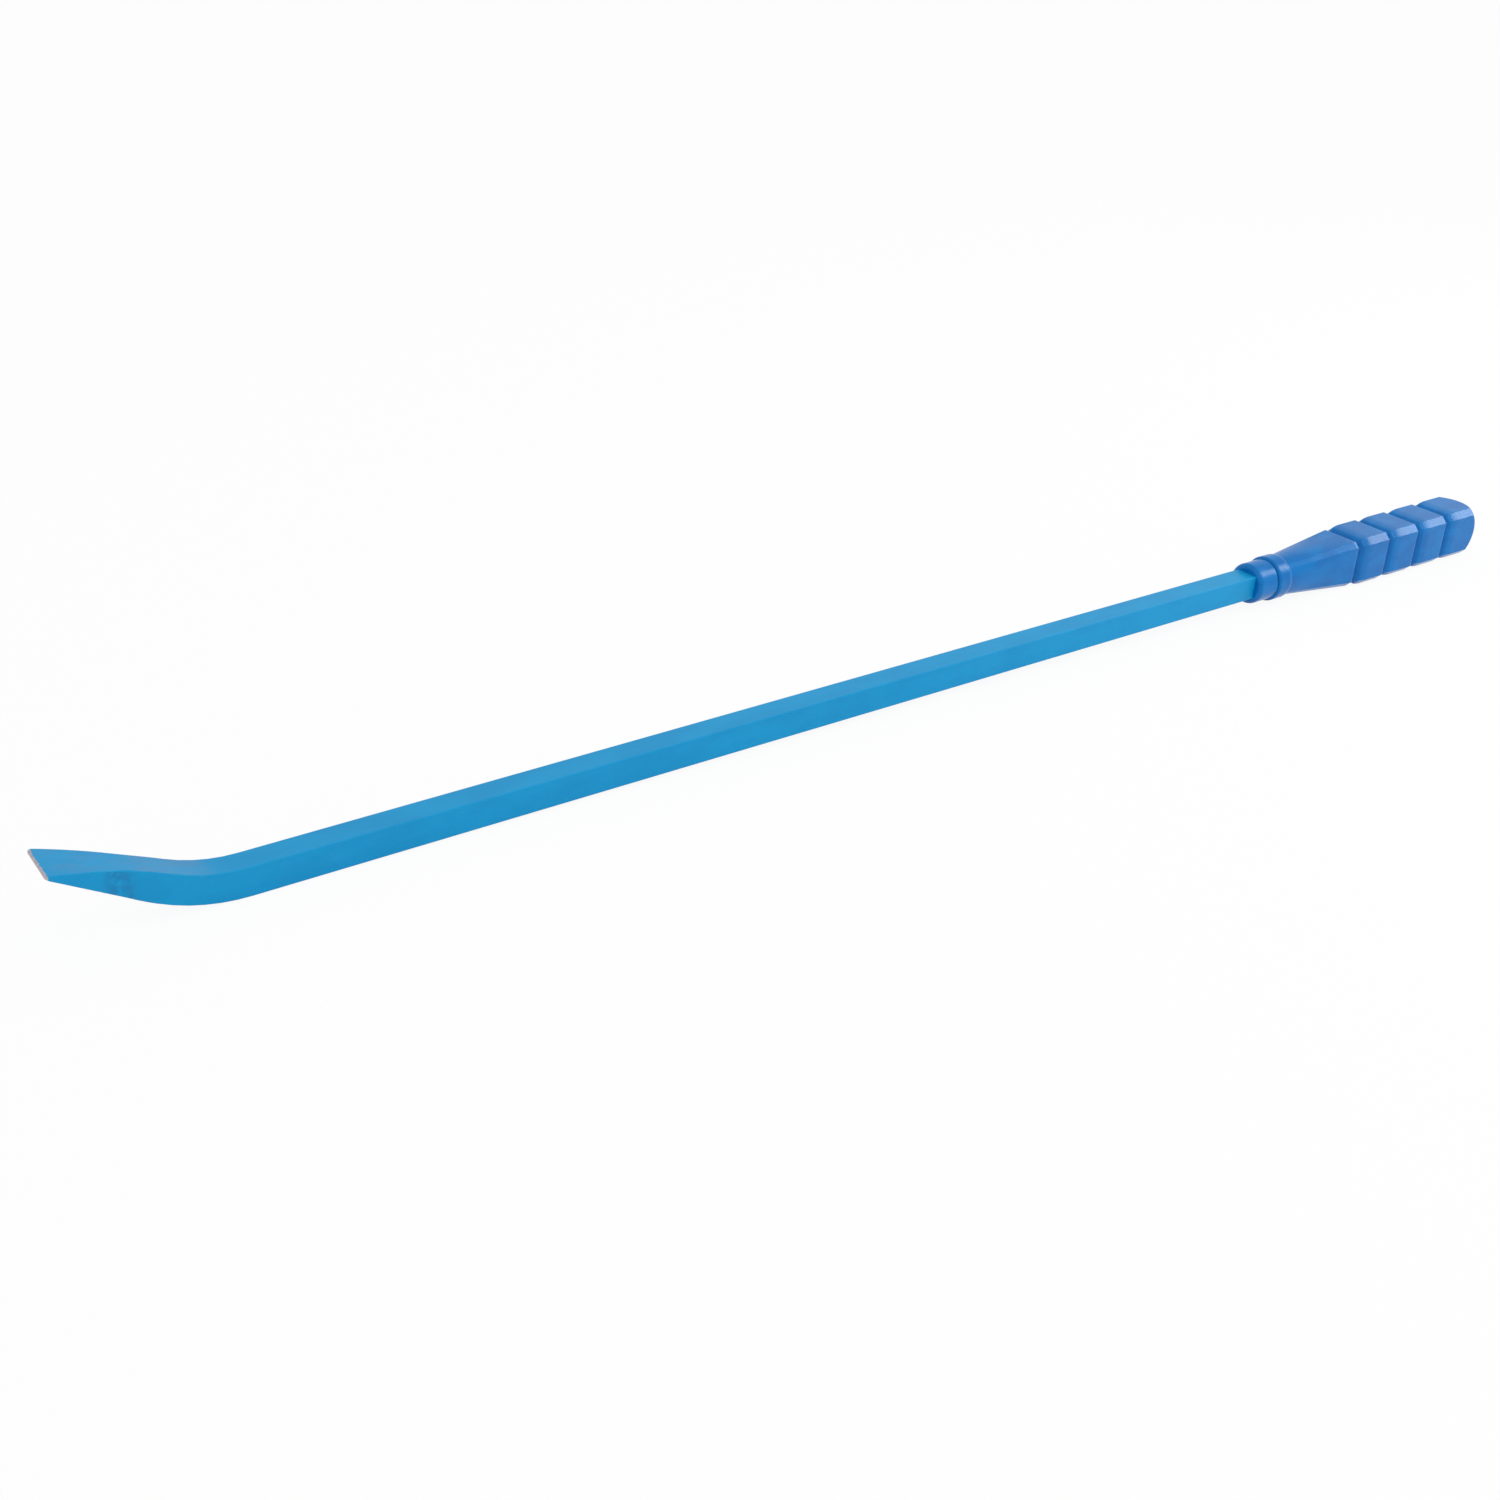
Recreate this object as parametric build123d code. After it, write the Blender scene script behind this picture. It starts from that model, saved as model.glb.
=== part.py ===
from build123d import *
from math import acos, atan2, cos, degrees, radians, sin, sqrt
import os

# Pry bar: a square steel bar forged into a turned-up, flared blade, with a plastic handle
# moulded round its tang.
#
# Millimetres. X runs along the bar from the blade to the butt, Y is across it, and Z is up.
# The blade's edge and the butt lie the same distance either side of x = 0, the bar is
# symmetric about y = 0, and the handle's lower flats lie in z = 0.

# The whole tool
overall_length = 900.0

# Bar
bar_size = 14.0               # across the flats of the square bar
bar_edge_radius = 0.6         # rounding along every long edge of the bar and the blade

# Blade, seen from the side
bend_reach = 80.5             # from the chisel edge back to where the bar starts to bend
edge_rise = 31.0              # middle of the chisel edge above the bar's axis
edge_thickness = 1.6
top_bend_radius = 71.0
top_bend_angle = 25.7         # degrees that the upper face turns up through in the bend
under_bend_radius = 84.5

# Blade, seen from above
edge_width = 24.8
flare_length = 35.0           # from the chisel edge back to where the blade starts to widen
flare_blend_radius = 90.0
corner_radius = 1.8

# Tang, the bar's tail inside the handle, with notches that lock the moulding on
tang_length = 168.0
notch_count = 3
notch_pitch = 42.0
notch_length = 7.0
notch_depth = 1.2
notch_setback = 24.0          # from the tang's end to the middle of the last notch

# Handle grip: a chamfered square with raised blocks between grooves
grip_size = 30.5              # across the flats
grip_chamfer = 3.6            # each leg of the chamfer at the corners of the square
block_count = 4
block_pitch = 28.3
butt_block_length = 25.4      # from the front of the last block's flat to the end of the butt
groove_depth = 3.6
groove_root_radius = 0.6
back_slope_length = 3.4       # the straight fall behind each block
shoulder_radius = 3.0         # rounding at the back of each block and of the neck
ramp_crown_radius = 30.0      # the front of each block eases off its flat on this radius,
ramp_crown_turn = 10.8        # through this many degrees,
ramp_nose_radius = 4.5        # and then drops into the groove on this one
butt_dome_radius = 23.5
butt_rim_radius = 1.2

# Handle neck and collars
neck_length = 52.7            # the taper, from the second collar's back face
neck_land = 2.0               # straight run between the taper and the first groove
neck_front_radius = 12.0      # round where it leaves the collar
neck_back_inset = 1.0         # how far the neck's land lies inside the grip's flats
collar_1_length = 15.5
collar_1_radius = 12.1
collar_1_nose_radius = 2.6
collar_1_back_radius = 0.8
collar_2_length = 13.1
collar_2_radius = 13.4
collar_2_front_radius = 1.6
collar_2_back_radius = 4.5

# The run of a block's front, from its flat down to the groove's root
crown_turn = radians(ramp_crown_turn)
crown_drop = ramp_crown_radius * (1 - cos(crown_turn))
nose_end_turn = acos(cos(crown_turn) - (groove_depth - crown_drop) / ramp_nose_radius)
crown_run = ramp_crown_radius * sin(crown_turn)
ramp_run = crown_run + ramp_nose_radius * (sin(nose_end_turn) - sin(crown_turn))

# Stations along X and heights that follow from the sizes above
edge_x = -overall_length / 2
butt_x = overall_length / 2
axis_z = grip_size / 2
bar_top_z = axis_z + bar_size / 2
bar_under_z = axis_z - bar_size / 2
bend_x = edge_x + bend_reach
last_block_x = butt_x - butt_block_length
first_groove_x = last_block_x - (block_count - 1) * block_pitch - ramp_run - back_slope_length
neck_back_x = first_groove_x - neck_land
collar_2_back_x = neck_back_x - neck_length
neck_front_x = collar_2_back_x - collar_2_back_radius
collar_2_x = collar_2_back_x - collar_2_length
handle_front_x = collar_2_x - collar_1_length
tang_end_x = handle_front_x + tang_length

def tangent_point(centre, radius, outside):
    """The point where a line from outside touches the underside of a circle."""
    away = outside - centre
    turn = acos(radius / away.length)
    angle = atan2(away.Y, away.X) + turn
    return centre + Vector(radius * cos(angle), radius * sin(angle))


def bar_side_outline():
    """The bar and blade seen from the side, drawn with X along and Z up the page."""
    edge_top = Vector(edge_x, axis_z + edge_rise + edge_thickness / 2)
    edge_under = Vector(edge_x, axis_z + edge_rise - edge_thickness / 2)

    top_centre = Vector(bend_x, bar_top_z + top_bend_radius)
    top_turn = radians(top_bend_angle)
    top_bend_end = top_centre + Vector(-top_bend_radius * sin(top_turn), -top_bend_radius * cos(top_turn))
    top_middle = top_centre + Vector(-top_bend_radius * sin(top_turn / 2), -top_bend_radius * cos(top_turn / 2))

    under_centre = Vector(bend_x, bar_under_z + under_bend_radius)
    under_bend_end = tangent_point(under_centre, under_bend_radius, edge_under)
    under_start = Vector(bend_x, bar_under_z)
    under_direction = (under_bend_end - under_centre + under_start - under_centre).normalized()
    under_middle = under_centre + under_direction * under_bend_radius

    outline = [
        Line((bend_x, bar_top_z), (tang_end_x, bar_top_z)),
        Line((tang_end_x, bar_top_z), (tang_end_x, bar_under_z)),
        Line((tang_end_x, bar_under_z), under_start),
        ThreePointArc(under_start, under_middle, under_bend_end),
        Line(under_bend_end, edge_under),
        Line(edge_under, edge_top),
        TangentArc(top_bend_end, edge_top, tangent=(-cos(top_turn), sin(top_turn))),
        ThreePointArc(top_bend_end, top_middle, (bend_x, bar_top_z)),
    ]
    return make_face(outline)


def bar_plan_outline():
    """The bar and blade seen from above, with the flare and the rounded corners of the edge."""
    flare_x = edge_x + flare_length
    corners = [
        (tang_end_x, bar_size / 2),
        (flare_x, bar_size / 2),
        (edge_x, edge_width / 2),
        (edge_x, -edge_width / 2),
        (flare_x, -bar_size / 2),
        (tang_end_x, -bar_size / 2),
    ]
    plan = make_face(Polyline(*corners, close=True))
    plan = fillet(plan.vertices().filter_by_position(Axis.X, flare_x, flare_x), flare_blend_radius)
    return fillet(plan.vertices().filter_by_position(Axis.X, edge_x, edge_x), corner_radius)


def bar_blank():
    """The forging without its notches, rounded along its long edges and its chisel edge."""
    side = extrude(Plane.XZ * bar_side_outline(), edge_width, both=True)
    plan = extrude(bar_plan_outline(), axis_z + edge_rise + bar_size)
    blank = side & plan
    corners = blank.edges().filter_by(Axis.Z, reverse=True)
    long_edges = corners.filter_by(lambda edge: abs(edge.center().Y) > bar_size / 2 - bar_edge_radius)
    chisel_edges = corners.filter_by_position(Axis.X, edge_x, edge_x)
    return fillet(long_edges + chisel_edges, bar_edge_radius)


def make_bar():
    bar = bar_blank()
    for index in range(notch_count):
        notch_x = tang_end_x - notch_setback - index * notch_pitch
        for side in (-1, 1):
            notch_y = side * (bar_size - notch_depth)
            bar -= Pos(notch_x, notch_y, axis_z) * Box(notch_length, bar_size, bar_size)
    return bar


def block_front(flat_x, height):
    """The two arcs from a block's flat forward and down to the groove's root."""
    crown = JernArc((flat_x, height), (-1, 0), ramp_crown_radius, ramp_crown_turn)
    nose_turn = degrees(nose_end_turn) - ramp_crown_turn
    nose = JernArc(crown @ 1, crown % 1, ramp_nose_radius, nose_turn)
    return [crown, nose], nose @ 1


def round_corners(face, points, radius):
    """Round a flat face's corners at the given points."""
    corners = [corner for corner in face.vertices() if min((Vector(corner) - p).length for p in points) < 1e-4]
    return fillet(corners, radius)


def grip_profile(height):
    """The grip in profile, with its blocks and grooves, when its flats are height from the axis."""
    path = []
    roots = []
    shoulders = []
    outer_x = butt_x
    for index in range(block_count):
        flat_x = last_block_x - index * block_pitch
        front, root = block_front(flat_x, height)
        shoulder = Vector(root.X - back_slope_length, height)
        if index == block_count - 1:
            shoulder = Vector(first_groove_x, height - neck_back_inset)
        shoulders.append(shoulder)
        roots.append(root)
        path += [Line((outer_x, height), (flat_x, height)), *front, Line(root, shoulder)]
        outer_x = shoulder.X
    land_end = Vector(neck_back_x, shoulder.Y)
    path += [Line(shoulder, land_end), Line(land_end, (neck_back_x, 0))]
    path += [Line((neck_back_x, 0), (butt_x, 0)), Line((butt_x, 0), (butt_x, height))]
    half = round_corners(make_face(path), roots, groove_root_radius)
    half = round_corners(half, shoulders, shoulder_radius)
    return half + mirror(half, Plane.XZ)


def chamfer_distance(flat_distance, chamfer):
    """How far the chamfer of a square lies from its axis."""
    return (2 * flat_distance - chamfer) / sqrt(2)


def grip_blocks():
    """The grip where its flats and its chamfers carry the same profile."""
    flat_distance = grip_size / 2
    flats = extrude(grip_profile(flat_distance), grip_size, both=True)
    bevels = extrude(grip_profile(chamfer_distance(flat_distance, grip_chamfer)), grip_size, both=True)
    body = flats & Rot(X=90) * flats & Rot(X=45) * bevels & Rot(X=-45) * bevels
    return body


def butt_dome():
    """A round-ended bar that holds the whole grip and gives the butt its dome."""
    centre_x = butt_x - butt_dome_radius
    outline = [
        Line((neck_back_x, 0), (neck_back_x, butt_dome_radius)),
        Line((neck_back_x, butt_dome_radius), (centre_x, butt_dome_radius)),
        JernArc((centre_x, butt_dome_radius), (1, 0), butt_dome_radius, -90),
        Line((butt_x, 0), (neck_back_x, 0)),
    ]
    return revolve(make_face(outline), Axis.X)


def octagon_corners(flat_distance, chamfer):
    """The eight corners of a chamfered square, in order round the axis."""
    near = flat_distance - chamfer
    quarter = [(flat_distance, near), (near, flat_distance)]
    corners = []
    for _ in range(4):
        corners += quarter
        quarter = [(-y, x) for x, y in quarter]
    return corners


def neck():
    """The neck, round at the collar and a chamfered square at the grip."""
    flat_distance = grip_size / 2 - neck_back_inset
    bevel_distance = chamfer_distance(grip_size / 2, grip_chamfer) - neck_back_inset
    chamfer = 2 * flat_distance - bevel_distance * sqrt(2)
    corners = [Vector(*corner) for corner in octagon_corners(flat_distance, chamfer)]
    round_points = [corner.normalized() * neck_front_radius for corner in corners]
    sides = []
    arcs = []
    for index in range(len(corners)):
        after = (index + 1) % len(corners)
        sides.append(Line(corners[index], corners[after]))
        middle = (round_points[index] + round_points[after]).normalized() * neck_front_radius
        arcs.append(ThreePointArc(round_points[index], middle, round_points[after]))
    section = Plane.YZ.offset(neck_back_x) * make_face(sides)
    circle = Plane.YZ.offset(neck_front_x) * make_face(arcs)
    return loft([circle, section], ruled=True)


def collar(start_x, length, radius):
    """A round collar along X."""
    return extrude(Plane.YZ.offset(start_x) * Circle(radius), length)


def round_rim(body, rim_x, radius):
    """Round a collar's rim at one of its faces."""
    return fillet(body.edges().filter_by_position(Axis.X, rim_x, rim_x), radius)


def collars():
    """The two stepped collars at the handle's front, with rounded edges."""
    first = collar(handle_front_x, collar_1_length, collar_1_radius)
    first = round_rim(first, handle_front_x, collar_1_nose_radius)
    first = round_rim(first, collar_2_x, collar_1_back_radius)
    second = collar(collar_2_x, collar_2_length, collar_2_radius)
    second = round_rim(second, collar_2_x, collar_2_front_radius)
    second = round_rim(second, collar_2_back_x, collar_2_back_radius)
    return first + second


def grip():
    """The blocks with the domed butt, whose rim is rounded."""
    blocks = grip_blocks() & butt_dome()
    rim = blocks.edges().filter_by(GeomType.CIRCLE).filter_by_position(Axis.X, last_block_x, butt_x, (False, False))
    return fillet(rim, butt_rim_radius)


def make_handle(bar):
    """The moulding, cut by the bar, so that it closes round the tang and its notches."""
    body = collars() + neck() + grip()
    return Pos(0, 0, axis_z) * body - bar


def main():
    os.makedirs("parts", exist_ok=True)
    bar = make_bar()
    handle = make_handle(bar)
    export_step(bar, "parts/forged_bar.step")
    export_step(handle, "parts/handle_moulding.step")
    for name, piece in (("forged_bar", bar), ("handle_moulding", handle)):
        print(name, "solids", len(piece.solids()), "volume", round(piece.volume, 1), piece.bounding_box())


if __name__ == "__main__":
    main()
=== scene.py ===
from math import atan, pi, radians

import bpy
from bpy.props import FloatProperty, FloatVectorProperty, PointerProperty, StringProperty
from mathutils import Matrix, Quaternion, Vector


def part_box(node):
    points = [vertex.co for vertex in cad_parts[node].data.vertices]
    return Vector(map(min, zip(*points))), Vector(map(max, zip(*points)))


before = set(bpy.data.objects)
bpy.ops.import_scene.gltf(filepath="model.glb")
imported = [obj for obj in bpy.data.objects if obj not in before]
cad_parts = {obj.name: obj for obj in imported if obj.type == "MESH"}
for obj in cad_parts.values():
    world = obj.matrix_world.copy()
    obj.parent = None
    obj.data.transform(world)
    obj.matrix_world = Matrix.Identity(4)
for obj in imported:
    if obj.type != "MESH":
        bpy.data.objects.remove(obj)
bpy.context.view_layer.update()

bl_info = {
    "name": "Pry bar",
    "version": (1, 0, 0),
    "blender": (4, 5, 0),
    "location": "3D View > Sidebar > Pry bar",
    "description": "Finishes a pry bar with a plastic handle, and sets its floor, lights and camera",
    "category": "Object",
}

# The frame is in metres, with X along the bar from the blade to the butt and Z up.
# Materials work in millimetres, because their patterns are sized by the real thing.
PER_METRE = 1000.0
BAR = "forged_bar"
HANDLE = "handle_moulding"
EDGE_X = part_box(BAR)[0].x * PER_METRE

# Places along the bar, each from and to a distance from the chisel edge. The bend's place holds a painted
# reflection as well as wear.
BEND_SHEEN_AND_WEAR = (34, 64)
BLADE_WEAR = (2, 46)
TIP_SCRATCHES = (4, 30)
GRIME_SMEAR = (23, 33)

# sRGB hex colours of small marks.
GRIME = "1F6FA6"
DULL_STEEL = "A79EA6"
MOULD_GRIT = "1A78C4"

# Each softbox's aim, its direction from there, and its distance. All are square.
TOP_SOFTBOX = ((-0.25, 0, 0.02), (0.35, -0.5, 0.8), 1.6)
KEY_SOFTBOX = ((0.38, 0, 0.02), (0.79, -0.33, 0.51), 1.2)
SOFTBOX_SIDE = 0.5


def linear(hex_colour):
    """The linear colour of an sRGB hex value such as "2F93C5", with an alpha of 1."""
    shares = [int(hex_colour[start:start + 2], 16) / 255 for start in (0, 2, 4)]
    return [
        share / 12.92 if share <= 0.04045 else ((share + 0.055) / 1.055) ** 2.4 for share in shares
    ] + [1.0]


def add_node(tree, kind, settings=(), inputs=(), links=()):
    """A node with its settings, its unlinked input values and the sockets that feed it."""
    node = tree.nodes.new(kind)
    for name, value in dict(settings).items():
        setattr(node, name, value)
    for name, value in dict(inputs).items():
        node.inputs[name].default_value = value
    for name, socket in dict(links).items():
        tree.links.new(socket, node.inputs[name])
    return node


def new_material(name):
    """An empty material and its node tree."""
    material = bpy.data.materials.new(name)
    material.use_nodes = True
    material.node_tree.nodes.clear()
    return material, material.node_tree


def finish_with(material, piece):
    """Gives a CAD piece this material in every slot that it has."""
    for slot in piece.material_slots:
        slot.material = material


class Surface:
    """Builds one material's patterns from places on the piece, measured in millimetres."""

    def __init__(self, tree):
        self.tree = tree
        place = add_node(tree, "ShaderNodeTexCoord")
        in_mm = add_node(
            tree,
            "ShaderNodeVectorMath",
            {"operation": "SCALE"},
            {"Scale": PER_METRE},
            {0: place.outputs["Object"]},
        )
        self.place = in_mm.outputs[0]
        parts = add_node(tree, "ShaderNodeSeparateXYZ", links={0: self.place})
        self.x = parts.outputs[0]
        facing = add_node(tree, "ShaderNodeNewGeometry")
        self.up = add_node(tree, "ShaderNodeSeparateXYZ", links={0: facing.outputs["Normal"]}).outputs[2]

    def noise(self, size, detail=2.0, roughness=0.5, stretch=(1, 1, 1), distortion=0.0):
        """Noise from 0 to 1 whose blotches are about this many millimetres across."""
        scale = [1 / (size * share) for share in stretch]
        spread = add_node(self.tree, "ShaderNodeMapping", inputs={"Scale": scale}, links={0: self.place})
        pattern = add_node(
            self.tree,
            "ShaderNodeTexNoise",
            inputs={"Scale": 1.0, "Detail": detail, "Roughness": roughness, "Distortion": distortion},
            links={"Vector": spread.outputs[0]},
        )
        return pattern.outputs["Fac"]

    def ramp(self, value, start, end, low=0.0, high=1.0):
        """Goes smoothly from low to high as the value goes from start to end."""
        node = add_node(
            self.tree,
            "ShaderNodeMapRange",
            {"interpolation_type": "SMOOTHSTEP", "clamp": True},
            {"From Min": start, "From Max": end, "To Min": low, "To Max": high},
            {"Value": value},
        )
        return node.outputs["Result"]

    def maths(self, operation, first, second):
        """One sum on two values, each of which is a number or a socket."""
        node = add_node(self.tree, "ShaderNodeMath", {"operation": operation})
        for index, value in enumerate((first, second)):
            if isinstance(value, (int, float)):
                node.inputs[index].default_value = value
            else:
                self.tree.links.new(value, node.inputs[index])
        return node.outputs[0]

    def both(self, *masks):
        """Where all of these masks are on."""
        joined = masks[0]
        for mask in masks[1:]:
            joined = self.maths("MULTIPLY", joined, mask)
        return joined

    def zone(self, reach, blur):
        """On over this reach of the bar, measured from the chisel edge, with edges as wide as the blur."""
        start, end = (EDGE_X + distance for distance in reach)
        rise = self.ramp(self.x, start - blur / 2, start + blur / 2)
        fall = self.ramp(self.x, end - blur / 2, end + blur / 2, 1.0, 0.0)
        return self.both(rise, fall)

    def tint(self, share, under, over):
        """Lays one colour over another. Each is a hex colour or a socket."""
        node = add_node(self.tree, "ShaderNodeMix", {"data_type": "RGBA"}, links={0: share})
        for index, colour in ((6, under), (7, over)):
            if isinstance(colour, str):
                node.inputs[index].default_value = linear(colour)
            else:
                self.tree.links.new(colour, node.inputs[index])
        return node.outputs[2]

    def bump(self, height, distance, strength, under=None):
        """Relief of this many millimetres, on top of an earlier one."""
        links = {"Height": height}
        if under is not None:
            links["Normal"] = under
        return add_node(
            self.tree,
            "ShaderNodeBump",
            inputs={"Distance": distance / PER_METRE, "Strength": strength},
            links=links,
        ).outputs["Normal"]


class PryBarFinish(bpy.types.PropertyGroup):
    """The colours and the gloss of the two pieces."""

    paint: StringProperty(name="Paint", description="sRGB hex colour of the bar's enamel", default="0E99D1")
    paint_deep: StringProperty(
        name="Deep paint", description="sRGB hex colour where the enamel lies thicker", default="0C93CC"
    )
    # The scuff colour also paints the reflection on top of the bend.
    scuff_and_sheen: StringProperty(
        name="Scuffs", description="sRGB hex colour of rubbed, dusty enamel", default="6292BC"
    )
    steel: StringProperty(
        name="Bare steel", description="sRGB hex colour of the ground edge", default="CFC6CC"
    )
    paint_roughness: FloatProperty(
        name="Paint roughness",
        description="0 is a mirror, 1 is matt",
        default=0.36,
        min=0,
        max=1,
        subtype="FACTOR",
    )
    bare_edge: FloatProperty(
        name="Bare edge",
        description="Width of the bare steel along the chisel edge, in millimetres",
        default=1.0,
        min=0,
    )
    plastic: StringProperty(name="Plastic", description="sRGB hex colour of the handle", default="0076C0")
    plastic_deep: StringProperty(
        name="Deep plastic", description="sRGB hex colour of the handle's darker clouds", default="006CB6"
    )
    plastic_roughness: FloatProperty(
        name="Plastic roughness",
        description="0 is a mirror, 1 is matt",
        default=0.2,
        min=0,
        max=1,
        subtype="FACTOR",
    )


def enamel_on_forged_steel(finish):
    """Light blue enamel sprayed on a forging.

    The eye gets a satin colour with the slight ripple of the hammered steel below, fine
    orange peel, dusty specks, a greyish painted reflection mixed with rubbing on top of the
    bend, rubbed places on the blade, and a thin line of ground steel where the chisel edge is bare.
    """
    material, tree = new_material("enamel_on_forged_steel")
    make = Surface(tree)

    # Thick and thin paint, in clouds about 30 mm long down the bar.
    clouds = make.ramp(make.noise(12, 3, 0.55, (2.5, 1, 1)), 0.35, 0.65)
    colour = make.tint(clouds, finish.paint, finish.paint_deep)

    # Specks of dust and pinholes. Real ones are under half a millimetre, so these are coarser.
    specks = make.ramp(make.noise(1.1, 1, 0.5), 0.64, 0.76, 0.0, 0.16)
    colour = make.tint(specks, colour, finish.scuff_and_sheen)

    # The top of the bend gets a greyish painted reflection of its curve, mixed with rubbing, and the top of the
    # blade is rubbed, in streaks along the tool.
    on_top = make.ramp(make.up, 0.55, 0.8)
    streaks = make.ramp(make.noise(5, 4, 0.6, (4, 1.2, 1.2), 0.6), 0.4, 0.62)
    # Painted reflection: the greyish tint on top of the bend stands in for light on its curved face, with some
    # rubbed paint.
    bend = make.both(on_top, make.zone(BEND_SHEEN_AND_WEAR, 10))
    blade = make.both(on_top, make.zone(BLADE_WEAR, 20), make.ramp(streaks, 0.2, 1, 0.05, 0.3))
    rub_and_sheen = make.maths("MAXIMUM", make.both(bend, make.ramp(streaks, 0, 0.9, 0.45, 0.9)), blade)
    scratches = make.ramp(make.noise(1.6, 2, 0.6, (7, 1, 1), 0.3), 0.6, 0.7, 0.0, 0.8)
    near_tip = make.both(on_top, make.zone(TIP_SCRATCHES, 8))
    rub_and_sheen = make.maths("MAXIMUM", rub_and_sheen, make.both(scratches, near_tip))
    # The scuff colour lays dust, rubbing and the bend's painted reflection over the paint.
    colour = make.tint(make.maths("MULTIPLY", rub_and_sheen, 0.6), colour, finish.scuff_and_sheen)

    # A smear of darker dirt on the side of the blade.
    smear = make.both(
        make.zone(GRIME_SMEAR, 9),
        make.ramp(make.up, 0.2, 0.4, 1.0, 0.0),
        make.ramp(make.noise(4, 3, 0.6), 0.35, 0.6),
    )
    colour = make.tint(make.maths("MULTIPLY", smear, 0.6), colour, GRIME)

    # The chisel edge is ground and its paint is worn back by a wandering millimetre.
    wander = make.ramp(make.noise(3.5, 3, 0.6), 0.25, 0.75, -0.35, 0.35)
    from_edge = make.maths("SUBTRACT", make.maths("SUBTRACT", make.x, EDGE_X), wander)
    bare = make.ramp(from_edge, finish.bare_edge - 0.25, finish.bare_edge + 0.25, 1.0, 0.0)
    grind = make.noise(0.5, 2, 0.6, (6, 1, 1))
    steel_tone = make.tint(make.ramp(grind, 0.3, 0.7), finish.steel, DULL_STEEL)
    colour = make.tint(bare, colour, steel_tone)
    gloss = make.maths("ADD", make.maths("MULTIPLY", rub_and_sheen, 0.2), finish.paint_roughness)
    gloss = make.maths("MAXIMUM", gloss, make.maths("MULTIPLY", bare, 0.42))

    # Ripple of the forging, about 14 mm from crest to crest, and orange peel of 1.5 mm on the paint.
    relief = make.bump(make.noise(14, 2, 0.5, (1.5, 1, 1)), 0.12, 0.6)
    painted = make.maths("SUBTRACT", 1.0, bare)
    relief = make.bump(make.both(make.noise(1.5, 2, 0.5), painted), 0.02, 0.5, relief)

    surface = add_node(
        tree,
        "ShaderNodeBsdfPrincipled",
        inputs={"IOR": 1.5, "Specular IOR Level": 0.16},
        links={
            "Base Color": colour,
            "Roughness": gloss,
            "Metallic": make.maths("MULTIPLY", bare, 0.75),
            "Normal": relief,
        },
    )
    add_node(tree, "ShaderNodeOutputMaterial", links={"Surface": surface.outputs["BSDF"]})
    return material


def glossy_moulded_plastic(finish):
    """Blue polypropylene from a polished mould.

    The eye gets an even, deep colour with bright, soft-edged reflections, a faint waviness
    where the thick blocks shrank as they cooled, and a few fine rub marks.
    """
    material, tree = new_material("glossy_moulded_plastic")
    make = Surface(tree)

    # Pigment that flowed unevenly, in clouds about 20 mm long.
    clouds = make.ramp(make.noise(9, 3, 0.5, (2.2, 1, 1), 0.4), 0.35, 0.65)
    colour = make.tint(clouds, finish.plastic, finish.plastic_deep)

    # Fine grit in the mould's polish. Real grit is 0.1 mm, so it is drawn at 0.9 mm.
    grit = make.noise(0.9, 2, 0.6)
    colour = make.tint(make.ramp(grit, 0.62, 0.75, 0.0, 0.25), colour, MOULD_GRIT)

    # Sink marks, 11 mm across, and rub marks that run along the handle.
    relief = make.bump(make.noise(11, 1, 0.4), 0.16, 0.55)
    rubs = make.ramp(make.noise(2.2, 3, 0.6, (1, 5, 5), 0.5), 0.58, 0.72)
    relief = make.bump(grit, 0.012, 0.4, relief)
    gloss = make.maths("ADD", make.maths("MULTIPLY", rubs, 0.1), finish.plastic_roughness)

    surface = add_node(
        tree,
        "ShaderNodeBsdfPrincipled",
        inputs={"IOR": 1.49, "Specular IOR Level": 0.22},
        links={"Base Color": colour, "Roughness": gloss, "Normal": relief},
    )
    add_node(tree, "ShaderNodeOutputMaterial", links={"Surface": surface.outputs["BSDF"]})
    return material


def white_seamless_paper(stage):
    """Matt white paper under the tool: it shows as white, and still takes a faint shadow."""
    material, tree = new_material("white_seamless_paper")
    path = add_node(tree, "ShaderNodeLightPath")
    seen = add_node(
        tree,
        "ShaderNodeMath",
        {"operation": "ADD"},
        links={0: path.outputs["Is Camera Ray"], 1: path.outputs["Is Glossy Ray"]},
    )
    seen = add_node(
        tree,
        "ShaderNodeMath",
        {"operation": "ADD", "use_clamp": True},
        links={0: seen.outputs[0], 1: path.outputs["Is Transmission Ray"]},
    )
    share = add_node(
        tree,
        "ShaderNodeMath",
        {"operation": "MULTIPLY"},
        {1: stage.floor_glow},
        {0: seen.outputs[0]},
    )
    paper = add_node(tree, "ShaderNodeBsdfDiffuse", inputs={"Color": linear(stage.paper)})
    glow = add_node(tree, "ShaderNodeEmission", inputs={"Strength": 1.0})
    mixed = add_node(
        tree,
        "ShaderNodeMixShader",
        links={"Fac": share.outputs[0], 1: paper.outputs[0], 2: glow.outputs[0]},
    )
    add_node(tree, "ShaderNodeOutputMaterial", links={"Surface": mixed.outputs[0]})
    return material


def floor_height(points, slope):
    """How high a floor of this slope reaches under the middle of the tool before it meets a point."""
    return min(point.z - slope * point.x for point in points)


def resting_slope():
    """The floor's slope and its height at x = 0 when the tool lies on its heel and its handle."""
    points = [vertex.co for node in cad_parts.values() for vertex in node.data.vertices]
    low, high = -0.1, 0.1
    while high - low > 1e-6:
        third = (high - low) / 3
        if floor_height(points, low + third) < floor_height(points, high - third):
            low += third
        else:
            high -= third
    return low, floor_height(points, low)


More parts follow.
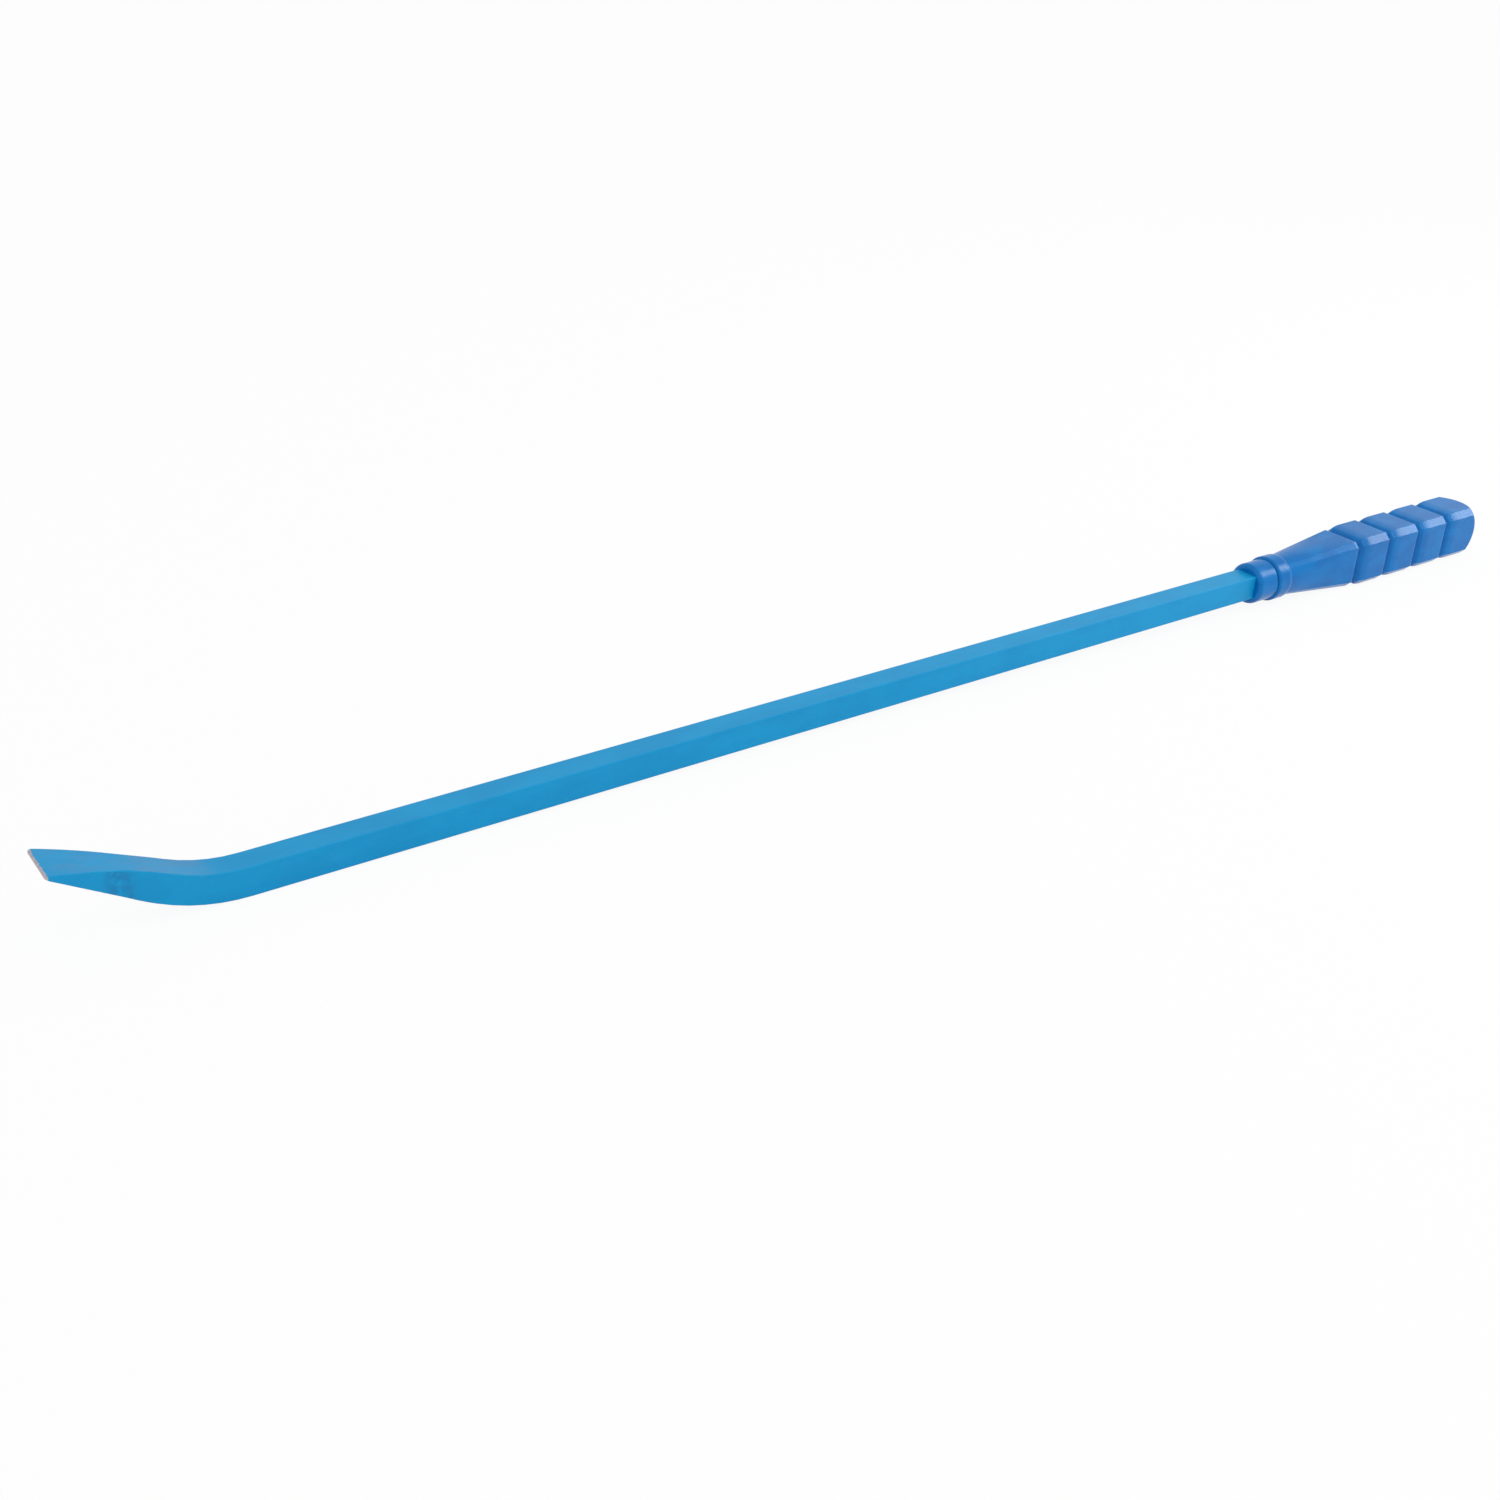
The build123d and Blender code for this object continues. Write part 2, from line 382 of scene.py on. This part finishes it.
class PryBarStage(bpy.types.PropertyGroup):
    """The floor, the lights and the camera."""

    paper: StringProperty(name="Paper", description="sRGB hex colour of the floor", default="F2F2F2")
    floor_glow: FloatProperty(
        name="Floor whiteness",
        description="How much of the floor shows as plain white",
        default=0.93,
        min=0,
        max=1,
        subtype="FACTOR",
    )
    floor_width: FloatProperty(
        name="Floor width", description="Length of the floor's sides", default=16, min=2, unit="LENGTH"
    )
    room_level: FloatProperty(
        name="Room light", description="Brightness of the room, where 1 is white", default=0.8, min=0
    )
    key_level: FloatProperty(
        name="Key light",
        description="Brightness of the lamp behind the handle, where 1 is white paper",
        default=6.5,
        min=0,
    )
    top_level: FloatProperty(
        name="Top light",
        description="Brightness of the lamp over the blade, where 1 is white paper",
        default=4,
        min=0,
    )
    camera_place: FloatVectorProperty(
        name="Camera place",
        description="Where the camera stands",
        default=(-0.5781, -0.6304, 0.4257),
        subtype="XYZ",
        unit="LENGTH",
    )
    camera_aim: FloatVectorProperty(
        name="Camera aim",
        description="The point that it looks at",
        default=(-0.1132, 0.0, 0.0027),
        subtype="XYZ",
        unit="LENGTH",
    )
    camera_roll: FloatProperty(
        name="Camera roll", description="Turn about its own line of sight", default=radians(2.709), subtype="ANGLE"
    )
    camera_lens: FloatProperty(
        name="Lens", description="Focal length on a 36 mm sensor, in millimetres", default=43.51, min=1
    )


def place_camera(stage):
    data = bpy.data.cameras.new("camera")
    data.lens = stage.camera_lens
    data.clip_start = 0.01
    camera = bpy.data.objects.new("camera", data)
    bpy.context.scene.collection.objects.link(camera)
    place = Vector(stage.camera_place)
    sight = Vector(stage.camera_aim) - place
    camera.location = place
    camera.rotation_mode = "QUATERNION"
    camera.rotation_quaternion = sight.to_track_quat("-Z", "Y") @ Quaternion((0, 0, 1), stage.camera_roll)
    bpy.context.scene.camera = camera


def add_softbox(name, aim, direction, distance, brightness):
    """A soft square lamp that faces its aim. A brightness of 1 is that of white paper."""
    data = bpy.data.lights.new(name, "AREA")
    data.shape = "RECTANGLE"
    data.size = data.size_y = SOFTBOX_SIDE
    data.energy = brightness * pi * SOFTBOX_SIDE**2
    lamp = bpy.data.objects.new(name, data)
    bpy.context.scene.collection.objects.link(lamp)
    towards = Vector(direction).normalized()
    lamp.location = Vector(aim) + towards * distance
    lamp.rotation_mode = "QUATERNION"
    lamp.rotation_quaternion = towards.to_track_quat("Z", "Y")


def light_room(level):
    """An even, white room."""
    world = bpy.data.worlds.new("room")
    world.use_nodes = True
    world.node_tree.nodes.clear()
    room = add_node(world.node_tree, "ShaderNodeBackground", inputs={"Color": (1, 1, 1, 1), "Strength": level})
    add_node(world.node_tree, "ShaderNodeOutputWorld", links={"Surface": room.outputs[0]})
    bpy.context.scene.world = world


def lay_floor(stage):
    """A wide floor that the tool touches with the heel of its bend and with its handle."""
    slope, height = resting_slope()
    bpy.ops.mesh.primitive_plane_add(size=stage.floor_width)
    floor = bpy.context.object
    floor.name = "floor"
    floor.location = (0, 0, height)
    floor.rotation_euler = (0, -atan(slope), 0)
    floor.data.materials.append(white_seamless_paper(stage))


class PRYBAR_OT_finish_bar(bpy.types.Operator):
    """Paint the forged bar and bare its chisel edge"""

    bl_idname = "prybar.finish_bar"
    bl_label = "Paint the bar"

    def execute(self, context):
        finish_with(enamel_on_forged_steel(context.scene.pry_bar_finish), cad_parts[BAR])
        return {"FINISHED"}


class PRYBAR_OT_finish_handle(bpy.types.Operator):
    """Give the handle its glossy plastic"""

    bl_idname = "prybar.finish_handle"
    bl_label = "Finish the handle"

    def execute(self, context):
        finish_with(glossy_moulded_plastic(context.scene.pry_bar_finish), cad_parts[HANDLE])
        return {"FINISHED"}


class PRYBAR_OT_set_stage(bpy.types.Operator):
    """Lay the floor, and set the lights and the camera"""

    bl_idname = "prybar.set_stage"
    bl_label = "Set the stage"

    def execute(self, context):
        stage = context.scene.pry_bar_stage
        context.scene.view_settings.view_transform = "Standard"
        lay_floor(stage)
        light_room(stage.room_level)
        add_softbox("top_softbox", *TOP_SOFTBOX, stage.top_level)
        add_softbox("key_softbox", *KEY_SOFTBOX, stage.key_level)
        place_camera(stage)
        return {"FINISHED"}


class PRYBAR_PT_panel(bpy.types.Panel):
    """The pry bar's settings and steps"""

    bl_idname = "PRYBAR_PT_panel"
    bl_label = "Pry bar"
    bl_space_type = "VIEW_3D"
    bl_region_type = "UI"
    bl_category = "Pry bar"

    def draw(self, context):
        for group in (context.scene.pry_bar_finish, context.scene.pry_bar_stage):
            for name in group.__annotations__:
                self.layout.prop(group, name)
        for step in STEPS:
            self.layout.operator(step.bl_idname)


STEPS = (PRYBAR_OT_finish_bar, PRYBAR_OT_finish_handle, PRYBAR_OT_set_stage)
CLASSES = (PryBarFinish, PryBarStage, *STEPS, PRYBAR_PT_panel)


def register():
    for made in CLASSES:
        bpy.utils.register_class(made)
    bpy.types.Scene.pry_bar_finish = PointerProperty(type=PryBarFinish)
    bpy.types.Scene.pry_bar_stage = PointerProperty(type=PryBarStage)


def unregister():
    del bpy.types.Scene.pry_bar_stage
    del bpy.types.Scene.pry_bar_finish
    for made in reversed(CLASSES):
        bpy.utils.unregister_class(made)


def main():
    register()
    bpy.ops.prybar.finish_bar()
    bpy.ops.prybar.finish_handle()
    bpy.ops.prybar.set_stage()


if __name__ == "__main__":
    main()
